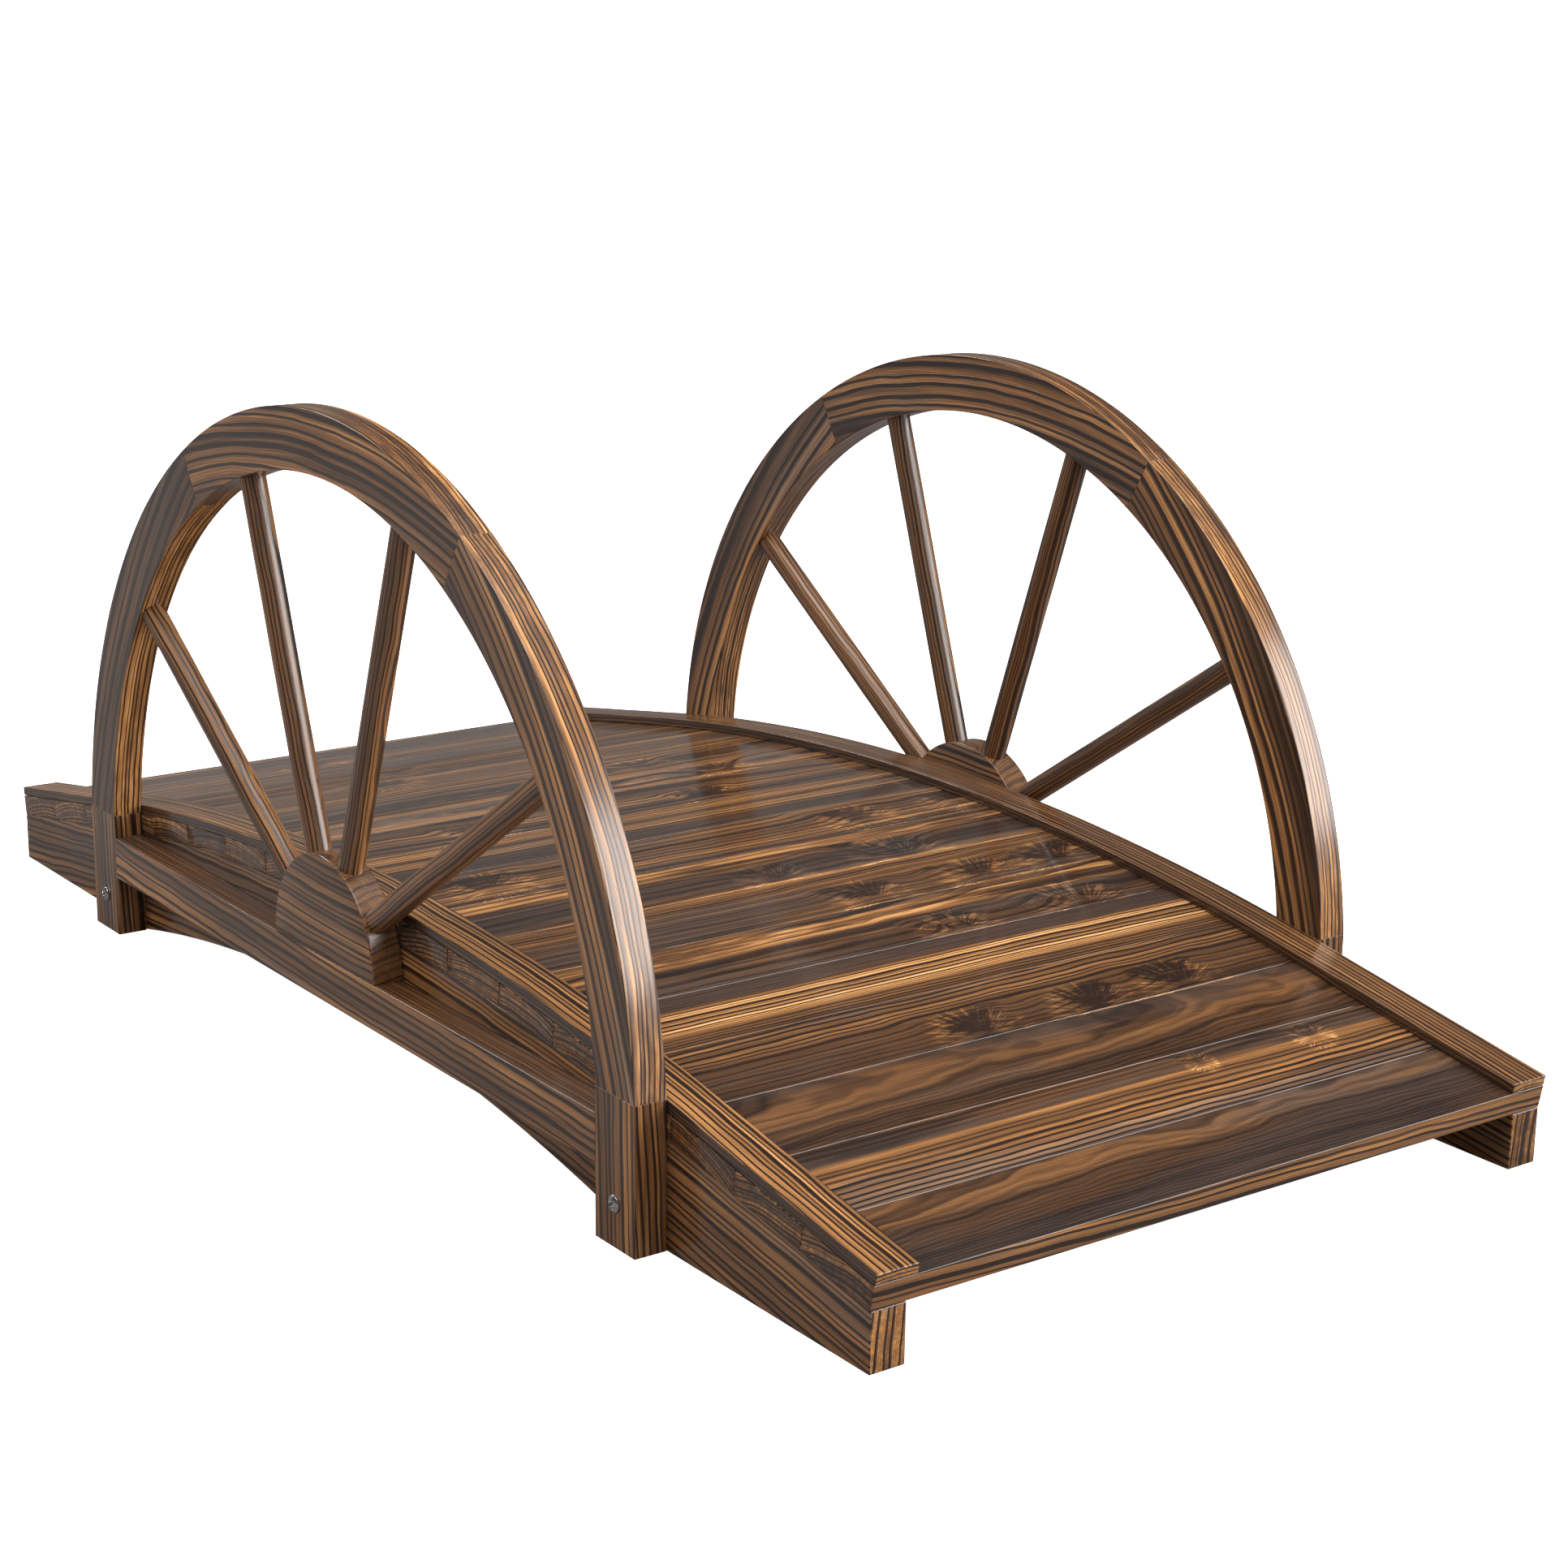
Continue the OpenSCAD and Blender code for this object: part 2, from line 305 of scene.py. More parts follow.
def slow_waves(points):
    """Unevenness of a planed face: for side and up, the mean of three sine waves of 40 to 160 mm
    along the timber, each with its own phase and slant. Values lie between -1 and 1."""
    wave = np.zeros_like(points)
    for axis in (1, 2):
        length = chooser.uniform(0.04, 0.16, 3)
        slant = chooser.uniform(-1.5, 1.5, 3)
        phase = chooser.uniform(0, 2 * np.pi, 3)
        run = points[:, :1] + slant * points[:, 3 - axis, None]
        wave[:, axis] = np.sin(2 * np.pi * run / length + phase).mean(axis=1)
    return wave


# Node helpers

class Value:
    """A number that varies over a surface. Each step on it adds a Math node to its tree."""

    def __init__(self, socket):
        self.socket = socket

    def step(self, operation, *others, clamp=False):
        node = self.socket.id_data.nodes.new("ShaderNodeMath")
        node.operation, node.use_clamp = operation, clamp
        for socket, term in zip(node.inputs, (self, *others)):
            join(socket, term)
        return Value(node.outputs[0])

    def __add__(self, other):
        return self.step("ADD", other)

    def __sub__(self, other):
        return self.step("SUBTRACT", other)

    def __mul__(self, other):
        return self.step("MULTIPLY", other)

    def __truediv__(self, other):
        return self.step("DIVIDE", other)

    def taken_from_one(self):
        return self.step("MULTIPLY_ADD", -1.0, 1.0)

    def squared(self):
        return self * self

    def clipped(self):
        return self.step("ADD", 0.0, clamp=True)

    def rise(self, low, high):
        """0 below low, 1 above high, with a smooth step between."""
        node = self.socket.id_data.nodes.new("ShaderNodeMapRange")
        node.interpolation_type = "SMOOTHSTEP"
        join(node.inputs["Value"], self)
        join(node.inputs["From Min"], low)
        join(node.inputs["From Max"], high)
        return Value(node.outputs["Result"])


def join(socket, term):
    """Links a varying term to a socket, or sets the socket to a plain number."""
    if isinstance(term, Value):
        socket.id_data.links.new(term.socket, socket)
    else:
        socket.default_value = term


def parts_of(vector):
    """The three numbers of a vector."""
    node = vector.socket.id_data.nodes.new("ShaderNodeSeparateXYZ")
    join(node.inputs[0], vector)
    return [Value(s) for s in node.outputs]


def vector_of(x, y, z):
    """A vector of three numbers."""
    node = x.socket.id_data.nodes.new("ShaderNodeCombineXYZ")
    for socket, term in zip(node.inputs, (x, y, z)):
        join(socket, term)
    return Value(node.outputs[0])


def cloud(place, scale=1.0, detail=2.0, rough=0.5, line=False):
    """Noise from 0 to 1, at a place in space or, for line, at a number."""
    node = place.socket.id_data.nodes.new("ShaderNodeTexNoise")
    node.noise_dimensions = "1D" if line else "3D"
    join(node.inputs["W" if line else "Vector"], place)
    node.inputs["Scale"].default_value = scale
    node.inputs["Detail"].default_value = detail
    node.inputs["Roughness"].default_value = rough
    return Value(node.outputs["Fac"])


def chance(number):
    """A random number from 0 to 1, always the same one for the same number."""
    node = number.socket.id_data.nodes.new("ShaderNodeTexWhiteNoise")
    node.noise_dimensions = "1D"
    join(node.inputs["W"], number)
    return Value(node.outputs["Value"])


def blended(share, first, second):
    """The first colour where share is 0, the second where it is 1, and between them a mix."""
    node = share.socket.id_data.nodes.new("ShaderNodeMix")
    node.data_type = "RGBA"
    join(node.inputs[0], share)
    join(node.inputs[6], first)
    join(node.inputs[7], second)
    return Value(node.outputs[2])


def graded(share, stops):
    """Colour ramp with stops of (place, red, green, blue), in the colours of a screen from 0 to 255."""
    node = share.socket.id_data.nodes.new("ShaderNodeValToRGB")
    join(node.inputs[0], share)
    ramp = node.color_ramp
    while len(ramp.elements) < len(stops):
        ramp.elements.new(0.5)
    for element, (place, *colour) in zip(ramp.elements, stops):
        element.position = place
        element.color = (*[linear(c) for c in colour], 1.0)
    return Value(node.outputs["Color"])


def linear(level):
    """Light of a screen level from 0 to 255."""
    level /= 255
    return level / 12.92 if level <= 0.04045 else ((level + 0.055) / 1.055) ** 2.4


def effect(name, inputs, outputs):
    """New node group with named inputs and outputs: its inputs as values, and a function that ends it."""
    group = bpy.data.node_groups.new(name, "ShaderNodeTree")
    for label, start in inputs:
        kind = "NodeSocketFloat" if isinstance(start, float) else "NodeSocketVector"
        socket = group.interface.new_socket(name=label, in_out="INPUT", socket_type=kind)
        socket.default_value = start
    for label, kind in outputs:
        group.interface.new_socket(name=label, in_out="OUTPUT", socket_type=f"NodeSocket{kind}")
    entry, leave = group.nodes.new("NodeGroupInput"), group.nodes.new("NodeGroupOutput")

    def finish(**results):
        for label, value in results.items():
            join(leave.inputs[label.replace("_", " ")], value)

    return group, [Value(s) for s in entry.outputs if s.name], finish


def placed(tree, group, **values):
    """Puts a group into a material with its own values. Returns its outputs by name."""
    node = tree.nodes.new("ShaderNodeGroup")
    node.node_tree = group
    for label, term in values.items():
        join(node.inputs[label.replace("_", " ")], term)
    return {s.name: Value(s) for s in node.outputs}


# Timber

def timber_figure():
    """Growth rings of a log: distance from its pith, which wanders, divided by the ring gap. Each ring has
    its own tone, its late wood is dark, and finer rings and fibres lie between. Knots push the rings apart,
    darken the wood and carry a fan of pale hairs."""
    group, inputs, finish = effect("timber figure", [
        ("Place", (0, 0, 0)), ("Cut", (0, 0, 0)), ("Kind", (0, 0, 0)), ("Stain", (0, 0, 0)),
        ("Knot One", no_knot), ("Knot Two", no_knot), ("Knot Three", no_knot), ("Wander", 0.009),
        ("Ripple", 0.0024), ("Ring Tone", 0.12), ("Group Tone", 0.16), ("Late Wood", 0.40),
        ("Fine Rings", 0.13), ("Fibre", 0.40)],
        [("Tone", "Float"), ("Late", "Float"), ("Fibre", "Float"), ("Smoke", "Float")])
    (place, cut, kind, stain, knot_one, knot_two, knot_three, wander, ripple, ring_tone, group_tone,
     late_wood, fine_rings, fibre) = inputs
    along, across, deep = parts_of(place)
    pith_across, pith_deep, slope = parts_of(cut)
    gap, seed, tone = parts_of(kind)
    smoke_bias, contrast, smear = parts_of(stain)

    slow = cloud(vector_of(along * 4.5 + seed, across * 9.0, deep * 9.0 + seed * 1.7), detail=1.5) - 0.5
    quick = cloud(vector_of(along * 26.0 - seed, across * 55.0, deep * 55.0 + seed), detail=1.0) - 0.5
    aside = across - pith_across
    down = deep - pith_deep + slope * along
    radius = (aside.squared() + down.squared()).step("SQRT") + slow * wander + quick * ripple

    heart, hairs = None, None
    ragged = cloud(vector_of(along * 80.0 + seed, across * 420.0, slow), detail=3.0, rough=0.6) - 0.5
    for knot in (knot_one, knot_two, knot_three):
        knot_along, knot_across, signed_size = parts_of(knot)
        size = signed_size.step("ABSOLUTE")
        dark = signed_size.step("GREATER_THAN", 0.0) * 0.7 + 0.3
        run, rise = along - knot_along, across - knot_across
        bent = rise - run.squared() / size * 0.35
        far = (run / size).squared() + (bent / (size * 0.5)).squared() + quick * 2.6 + slow * 1.2
        radius = radius + (far * -0.9).step("EXPONENT") * size * 0.26
        core = (far + ragged * 2.4).rise(0.25, 1.1).taken_from_one() * dark
        root = rise + size * 0.6
        bearing = root.step("ARCTAN2", run)
        reach = (run.squared() + root.squared()).step("SQRT") / size
        fan = cloud(vector_of(bearing * 15.0 + seed, reach * 1.6, slow * 2.0), detail=2.0).rise(0.49, 0.6)
        spray = fan * (reach - 0.8).squared().rise(0.02, 0.4).taken_from_one() * (dark * -0.1 + 0.85)
        heart = core if heart is None else heart.step("MAXIMUM", core)
        hairs = spray if hairs is None else hairs.step("MAXIMUM", spray)

    even = radius / gap
    ring = even + (cloud(even * 0.5 + seed * 5.3, detail=1.0, line=True) - 0.5) * 1.4
    turn = ring.step("FRACT")
    own = chance(ring.step("FLOOR") + seed * 13.0) - 0.5
    weight = chance(ring.step("FLOOR") * 1.7 + seed * 7.0) * 0.8 + 0.5
    band = cloud(ring * 0.27 + seed * 3.1, detail=1.0, line=True) - 0.5
    late = turn.rise(0.5, 0.8) * turn.rise(0.93, 1.0).taken_from_one() * weight
    fine_turn = (radius / (gap * 0.27) + quick * 0.6).step("FRACT")
    fine = fine_turn.rise(0.2, 0.7) * fine_turn.rise(0.8, 1.0).taken_from_one()
    hair = cloud(vector_of(along * 22.0 + seed, across * 760.0, deep * 760.0), detail=3.0, rough=0.6) - 0.5
    streak = cloud(vector_of(along * 7.0 - seed, across * 240.0, deep * 240.0), detail=2.0) - 0.5
    smoke = cloud(vector_of(along * 4.0 + seed * 2.3, across * 26.0, deep * 26.0), detail=3.0, rough=0.55)
    blot = cloud(vector_of(along * 7.0 - seed, across * 90.0, deep * 90.0 + seed), detail=4.0, rough=0.6)
    smears = blot.rise(0.44, 0.6) * smear

    lines = own * ring_tone + band * group_tone * 2.0 - late * late_wood
    shade = tone + (lines + streak * fibre * 0.7) * contrast - fine * fine_rings + hair * fibre - smears
    shade = shade - heart * 0.40 + hairs * 0.40
    finish(Tone=shade, Late=late * contrast, Fibre=hair + 0.5, Smoke=smoke + smoke_bias)
    return group


def stain_colours():
    """Colour of stained, scorched fir: from near black through brown to golden tan by tone, and towards
    a cooler, purple brown where the stain is smoky."""
    group, (tone, smoke, clear), finish = effect(
        "stain colours", [("Tone", 0.5), ("Smoke", 0.5), ("Clear", 0.5)], [("Colour", "Color")])
    warm = graded(tone.clipped(), [(0.0, 36, 22, 15), (0.25, 78, 52, 32), (0.5, 123, 83, 48),
                                   (0.75, 182, 128, 74), (1.0, 226, 176, 120)])
    cool = graded(tone.clipped(), [(0.0, 35, 26, 23), (0.3, 72, 55, 45), (0.6, 114, 87, 67),
                                   (0.85, 160, 124, 92), (1.0, 194, 154, 118)])
    colour = blended((smoke - clear).rise(-0.08, 0.1), warm, cool)
    finish(Colour=colour)
    return group


def varnish_surface():
    """Varnish over open grain: its roughness follows patches and the fibres, its relief the fibres, the
    late wood and small specks, and its cover is thinner in places."""
    group, (place, fibre, late, base, spread), finish = effect("varnish surface", [
        ("Place", (0, 0, 0)), ("Fibre", 0.5), ("Late", 0.5), ("Base Roughness", 0.2), ("Spread", 0.12)],
        [("Roughness", "Float"), ("Height", "Float"), ("Cover", "Float")])
    along, across, deep = parts_of(place)
    patch = cloud(vector_of(along * 14.0, across * 30.0, deep * 30.0), detail=3.0)
    speck = cloud(vector_of(along * 420.0, across * 900.0, deep * 900.0), detail=1.0)
    roughness = base + (patch - 0.5) * spread + (fibre - 0.5) * spread
    height = fibre * 0.55 + speck * 0.3 + late * 0.35
    cover = (patch * 0.5 + 0.35).clipped()
    finish(Roughness=roughness, Height=height, Cover=cover)
    return group


def new_material(name):
    """New material: itself, its node tree and its Principled shader."""
    material = bpy.data.materials.new(name)
    material.use_nodes = True
    tree = material.node_tree
    return material, tree, tree.nodes["Principled BSDF"]


def add_relief(tree, shader, height, depth):
    """Shades the surface as if it were raised by a height times a depth."""
    relief = tree.nodes.new("ShaderNodeBump")
    relief.inputs["Strength"].default_value = 1.0
    relief.inputs["Distance"].default_value = depth
    join(relief.inputs["Height"], height)
    join(shader.inputs["Normal"], Value(relief.outputs["Normal"]))


def timber_attribute(tree, name):
    """Reads one of the vectors that add_timber stores on a timber's face corners."""
    node = tree.nodes.new("ShaderNodeAttribute")
    node.attribute_type, node.attribute_name = "GEOMETRY", name
    return Value(node.outputs["Vector"])


def stained_fir(name, clear, base_roughness, coat_roughness, depth, **figure_values):
    """Stained and varnished fir with its own values of figure, colour and surface. The stain is clear
    and warm where there is less smoke than the value of clear."""
    material, tree, shader = new_material(name)
    place = timber_attribute(tree, "timber_place")
    own_values = {label.title(): timber_attribute(tree, f"timber_{label}")
                  for label in ("cut", "kind", "stain", "knot_one", "knot_two", "knot_three")}
    figure = placed(tree, effects["figure"], Place=place, **own_values, **figure_values)
    stain = placed(tree, effects["stain"], Tone=figure["Tone"], Smoke=figure["Smoke"], Clear=clear)
    varnish = placed(tree, effects["varnish"], Place=place, Fibre=figure["Fibre"], Late=figure["Late"],
                     Base_Roughness=base_roughness, Spread=0.14)
    add_relief(tree, shader, varnish["Height"], depth)
    join(shader.inputs["Base Color"], stain["Colour"])
    join(shader.inputs["Roughness"], varnish["Roughness"])
    join(shader.inputs["Coat Weight"], varnish["Cover"])
    shader.inputs["Coat Roughness"].default_value = coat_roughness
    shader.inputs["Coat IOR"].default_value = 1.5
    shader.inputs["Specular IOR Level"].default_value = 0.35
    return material


def screw_steel():
    """Bright plated steel, brushed by handling."""
    material, tree, shader = new_material("screw steel")
    where = Value(tree.nodes.new("ShaderNodeTexCoord").outputs["Object"])
    grime = cloud(where, scale=420.0, detail=3.0)
    scratch = cloud(where, scale=2600.0, detail=1.0)
    join(shader.inputs["Base Color"], graded(grime, [(0.3, 150, 148, 146), (0.7, 222, 222, 224)]))
    join(shader.inputs["Roughness"], grime * 0.25 + 0.12)
    shader.inputs["Metallic"].default_value = 1.0
    add_relief(tree, shader, scratch, 0.03 * MM)
    return material


effects = {"figure": timber_figure(), "stain": stain_colours(), "varnish": varnish_surface()}
# Each kind of timber has its own finish: its slot in the record, the clearness of its stain, the
# roughness of its base and coat, the depth of its grain, and its own values of figure
finish_values = {
    "dark board": ("stained_fir_dark", 0.50, 0.30, 0.10, 0.09 * MM, {}),
    "brown board": ("stained_fir_brown", 0.54, 0.30, 0.10, 0.09 * MM, {}),
    "stringer": ("stained_fir_brown", 0.56, 0.30, 0.12, 0.10 * MM, {"Ring_Tone": 0.09, "Group_Tone": 0.1}),
    "wheel": ("stained_fir_brown", 0.56, 0.34, 0.20, 0.14 * MM, {"Ring_Tone": 0.09, "Group_Tone": 0.12}),
    "spoke": ("stained_fir_dark", 0.62, 0.36, 0.28, 0.20 * MM, {"Ring_Tone": 0.12, "Group_Tone": 0.12}),
    "kerb": ("stained_fir_light", 0.60, 0.30, 0.15, 0.12 * MM,
             {"Ring_Tone": 0.05, "Group_Tone": 0.03, "Late_Wood": 0.60}),
}
finishes = {kind: (stained_fir(f"stained fir, {kind}", *surface, **figure), slot)
            for kind, (slot, *surface, figure) in finish_values.items()}


# Places of the timbers in the bridge

def top_line(x):
    """Height of a stringer: the arch where it is flatter than the ramps, and straight ramps beyond."""
    far = np.abs(x)
    arch = arch_centre + np.sqrt(np.maximum(arch_radius ** 2 - far ** 2, 0))
    return np.where(far <= arch_half, arch, spring_level - (far - arch_half) * np.tan(ramp_angle))


def hollow_line(x):
    """Underside of a stringer: the ground line at the feet, and an arc of a circle between them."""
    arc = np.sqrt(np.maximum(hollow_radius ** 2 - x ** 2, 0)) + hollow_high - hollow_radius
    return np.where(np.abs(x) < hollow_half, np.maximum(arc, 0), 0)


def along_arch(distance, lift, middle_y, points):
    """Point at a distance along the deck's line from its crown: round the arch up to the ramp angle, then
    straight on; lift and up count square to the line."""
    angle = np.clip(distance / arch_radius, -ramp_angle, ramp_angle)
    onward = distance - angle * arch_radius
    reach = arch_radius + lift + points[:, 2]
    return np.stack([onward * np.cos(angle) + reach * np.sin(angle), middle_y + points[:, 1],
                     arch_centre - onward * np.sin(angle) + reach * np.cos(angle)], axis=1)


def build_stringer(side, faces):
    """Stringer: a bar stretched between its underside and its top."""
    bar_high = 60 * MM
    middle_y = outward[side] * (deck_wide - stringer_thick) / 2
    stops = [stringer_length / 2 + s for s in (-arch_half, -hollow_half, hollow_half, arch_half)]
    bar = planed_bar(stringer_length, stringer_thick, bar_high, edge_ease, edge_ease, ring_step, 8, 4, stops)

    def set_in(points):
        """The core of the section stretches with the height between underside and top, and the edges
        keep their rounding: middle height + share of the core * (half height - ease) + the rounding."""
        x = points[:, 0] - stringer_length / 2
        high, low = top_line(x), hollow_line(x)
        core = bar_high / 2 - edge_ease
        inside = np.clip(points[:, 2], -core, core)
        z = (high + low) / 2 + inside / core * ((high - low) / 2 - edge_ease) + points[:, 2] - inside
        return np.stack([x, middle_y + points[:, 1], z], axis=1)

    def grain(points):
        """The figure follows three quarters of the rise of the top."""
        where = set_in(points)
        rise = 0.75 * (top_line(where[:, 0]) - spring_level)
        return np.stack([where[:, 0], where[:, 1] - middle_y, where[:, 2] - rise], axis=1)

    add_timber(f"{side}_stringer", "stringer", bar, set_in, faces, grain)


def board_place(number):
    """Turn of a deck board, and its distance from the touching point of its line: boards are counted from
    the back end; those on a ramp share its slope, those on the arch each lie on their own tangent."""
    from_arch = number - ramp_boards
    if from_arch < 1:
        return -ramp_angle, (from_arch - 0.5) * ramp_pitch, ramp_pitch
    if from_arch > arch_boards:
        return ramp_angle, (from_arch - arch_boards - 0.5) * ramp_pitch, ramp_pitch
    return (from_arch - 0.5) * arch_step - ramp_angle, 0.0, arch_pitch


def build_board(number, faces, knots, profile):
    """Deck board: a straight bar across the bridge, turned to its line."""
    angle, shift, pitch = board_place(number)
    ease = board_ease if number in bright_edges else dull_ease
    bar = planed_bar(deck_wide, pitch - board_gap, board_thick, ease, joint_ease, ring_step, 3, 22)

    def set_in(points):
        """From the arch's centre: reach at the board's angle, and run square to it."""
        run, reach = shift - points[:, 1], arch_radius + board_thick / 2 + points[:, 2]
        return np.stack([run * np.cos(angle) + reach * np.sin(angle), points[:, 0] - deck_wide / 2,
                         arch_centre - run * np.sin(angle) + reach * np.cos(angle)], axis=1)

    finish = "brown board" if number % 2 == 0 else "dark board"
    add_timber(f"deck_board_{number:02d}", finish, bar, set_in, faces, None, knots, profile, board_waves)


def build_kerb(side, faces):
    """Kerb: a thin strip bent over the boards."""
    half = arch_radius * ramp_angle + ramp_length
    bar = planed_bar(2 * half, kerb_wide, kerb_thick, edge_ease, edge_ease, ring_step, 1, 6)
    middle_y = outward[side] * (deck_wide - kerb_wide) / 2

    def set_in(points):
        """Along the deck's line, lifted by kerb_lift and half its thickness."""
        return along_arch(points[:, 0] - half, kerb_lift + kerb_thick / 2, middle_y, points)

    add_timber(f"{side}_kerb", "kerb", bar, set_in, faces, warp=planed_waves)


def build_felloe(side, number, faces):
    """Felloe: a bar bent round its share of the half rim."""
    step = np.pi / felloe_count
    bar = planed_bar(rim_middle * step, wheel_thick, rim_wide, edge_ease, joint_ease, rim_step, 8, 5)
    middle_y = outward[side] * wheel_middle
    rise = post_high - rim_level

    def polar(points):
        """Angle and radius on the rim: an end on a post is cut level, at the angle asin(rise / radius)."""
        radius = rim_middle + points[:, 2]
        level = np.arcsin(rise / radius)
        start = level if number == 1 else np.full(len(points), (number - 1) * step)
        stop = np.pi - level if number == felloe_count else np.full(len(points), number * step)
        return start + points[:, 0] / (rim_middle * step) * (stop - start), radius

    def set_in(points):
        """That angle and radius round the rim's centre, with side across the bridge."""
        angle, radius = polar(points)
        z = rim_level + radius * np.sin(angle)
        return np.stack([radius * np.cos(angle), middle_y - points[:, 1], z], axis=1)

    def grain(points):
        """The figure runs midway between the straight line of the plank and the curve of the rim."""
        angle, radius = polar(points)
        swing = angle - (number - 0.5) * step
        straight = radius * np.cos(swing) - rim_middle
        return np.stack([rim_middle * swing, points[:, 1], 0.45 * straight + 0.55 * points[:, 2]], axis=1)

    add_timber(f"{side}_felloe_{number}", "wheel", bar, set_in, faces, grain, warp=planed_waves)


def build_post(side, end, faces):
    """Post: an upright bar from the ground to the end of the rim."""
    bar = planed_bar(post_high, post_outer - post_inner, wheel_thick, edge_ease, joint_ease, ring_step, 5, 8)
    middle_x = post_middle if end == "front" else -post_middle
    middle_y = outward[side] * wheel_middle

    def set_in(points):
        """Along stands upright, side lies along the bridge and up across it."""
        return np.stack([middle_x + points[:, 1], middle_y + points[:, 2], points[:, 0]], axis=1)

    add_timber(f"{side}_{end}_post", "wheel", bar, set_in, faces)


def build_rail(side, faces):
    """Bottom rail: a level bar between the two posts."""
    bar = planed_bar(2 * post_inner, wheel_thick, rail_high, edge_ease, joint_ease, ring_step, 6, 5)
    middle_y = outward[side] * wheel_middle

    def set_in(points):
        """Shifted, with its middle at the rim's centre."""
        return points + [-post_inner, middle_y, rim_level]

    add_timber(f"{side}_rail", "wheel", bar, set_in, faces, warp=planed_waves)


def build_hub(side, faces):
    """Hub: a half-round block, flat side down on the rail."""
    bar = half_round_block(hub_radius, wheel_thick, hub_ease)
    middle_y = outward[side] * wheel_middle

    def set_in(points):
        """Side lies along the bridge, along lies across it, and up counts from the rail."""
        y = middle_y + wheel_thick / 2 - points[:, 0]
        return np.stack([points[:, 1], y, hub_level + points[:, 2]], axis=1)

    def grain(points):
        """Along is level, across is the thickness, deep is upright."""
        return np.stack([points[:, 1], points[:, 0], points[:, 2]], axis=1)

    add_timber(f"{side}_hub", "wheel", bar, set_in, faces, grain)


def build_spoke(side, number, faces):
    """Spoke: a dowel from its socket in the hub to its socket in the rim."""
    turn = np.pi * number / (spoke_count + 1)
    target = rim_inner * np.array([np.cos(turn), np.sin(turn)]) - [0, rail_high / 2]
    reach = np.hypot(*target)
    cosine, sine = target / reach
    start = hub_radius - socket_depth
    bar = turned_bar(reach + socket_depth - start, spoke_thick, spoke_step)
    middle_y = outward[side] * wheel_middle

    def set_in(points):
        """Along the line from the hub's centre, with side = (sine, -cosine) in the wheel's plane and
        up along Y."""
        run = start + points[:, 0]
        return np.stack([run * cosine + points[:, 1] * sine, middle_y + points[:, 2],
                         hub_level + run * sine - points[:, 1] * cosine], axis=1)

    add_timber(f"{side}_spoke_{number}", "spoke", bar, set_in, faces, warp=planed_waves)


def build_screws():
    """Four pan-head screws. The profile of shank and domed head is carried round a circle: over the
    head, height = rim + dome * (1 - (r / R) ^ dome_power), less the depth of the cross recess, whose two
    slots have soft walls."""
    around, rings = 96, 30
    angle = np.linspace(0, 2 * np.pi, around, endpoint=False)
    head, shank = screw_head_wide / 2, screw_thick / 2
    tip = -screw_bite - wheel_thick
    rim, dome_power = 0.9 * MM, 2.6
    share = np.linspace(1, 0, rings, endpoint=False)
    radius = np.concatenate([[shank, shank, shank, shank + 0.2 * MM, head - 0.3 * MM, head, head],
                             head * share])
    level = np.concatenate([[tip, tip + 0.3 * MM, 0, 0, 0, 0.15 * MM, rim * 0.8],
                            rim + (screw_head_high - rim) * (1 - share ** dome_power)])
    x, y = radius[:, None] * np.cos(angle), radius[:, None] * np.sin(angle)

    def recess(u, v):
        """1 inside either slot of the cross, falling to 0 over the width of its wall."""
        wide, long = recess_wide / 2, 0.26 * screw_head_wide
        wall = 0.22 * MM

        def slot_mask(a, b):
            """A ramp at the slot's sides times a ramp at its ends."""
            sides = np.clip((wide - np.abs(a)) / wall + 0.5, 0, 1)
            return sides * np.clip((long - np.abs(b)) / wall + 0.5, 0, 1)

        return np.maximum(slot_mask(u, v), slot_mask(v, u))

    tilt = np.radians(35)
    u, v = x * np.cos(tilt) + y * np.sin(tilt), y * np.cos(tilt) - x * np.sin(tilt)
    on_head = (np.arange(len(radius)) >= len(radius) - rings)[:, None]
    z = level[:, None] - np.where(on_head, recess_deep * recess(u, v), 0)
    rings_xyz = np.stack([x, y, np.broadcast_to(z, x.shape)], axis=2)
    poles = np.array([[0, 0, level[0]], [0, 0, screw_head_high - recess_deep]])
    points = np.concatenate([rings_xyz.reshape(-1, 3), poles])
    quads, fans = bar_faces(len(radius), around)

    vertices, faces = [], []
    for side in ("right", "left"):
        sign = outward[side]
        for middle_x in (-post_middle, post_middle):
            level_y = sign * (deck_wide / 2 + wheel_thick + points[:, 2])
            flat = points[:, :2] if sign < 0 else points[:, 1::-1]
            place = np.stack([middle_x + flat[:, 0], level_y, screw_level + flat[:, 1]], axis=1)
            shift = len(vertices) * len(points)
            vertices.append(place)
            faces += (quads + shift).tolist() + (fans + shift).tolist()
    mesh = bpy.data.meshes.new("post_screws_steel")
    mesh.from_pydata(np.concatenate(vertices).tolist(), [], faces)
    mesh.shade_smooth()
    mesh.materials.append(screw_steel())
    piece = new_object("post_screws_steel", mesh)
    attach(piece, "root")
    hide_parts("post_screws")


# The bridge's timbers

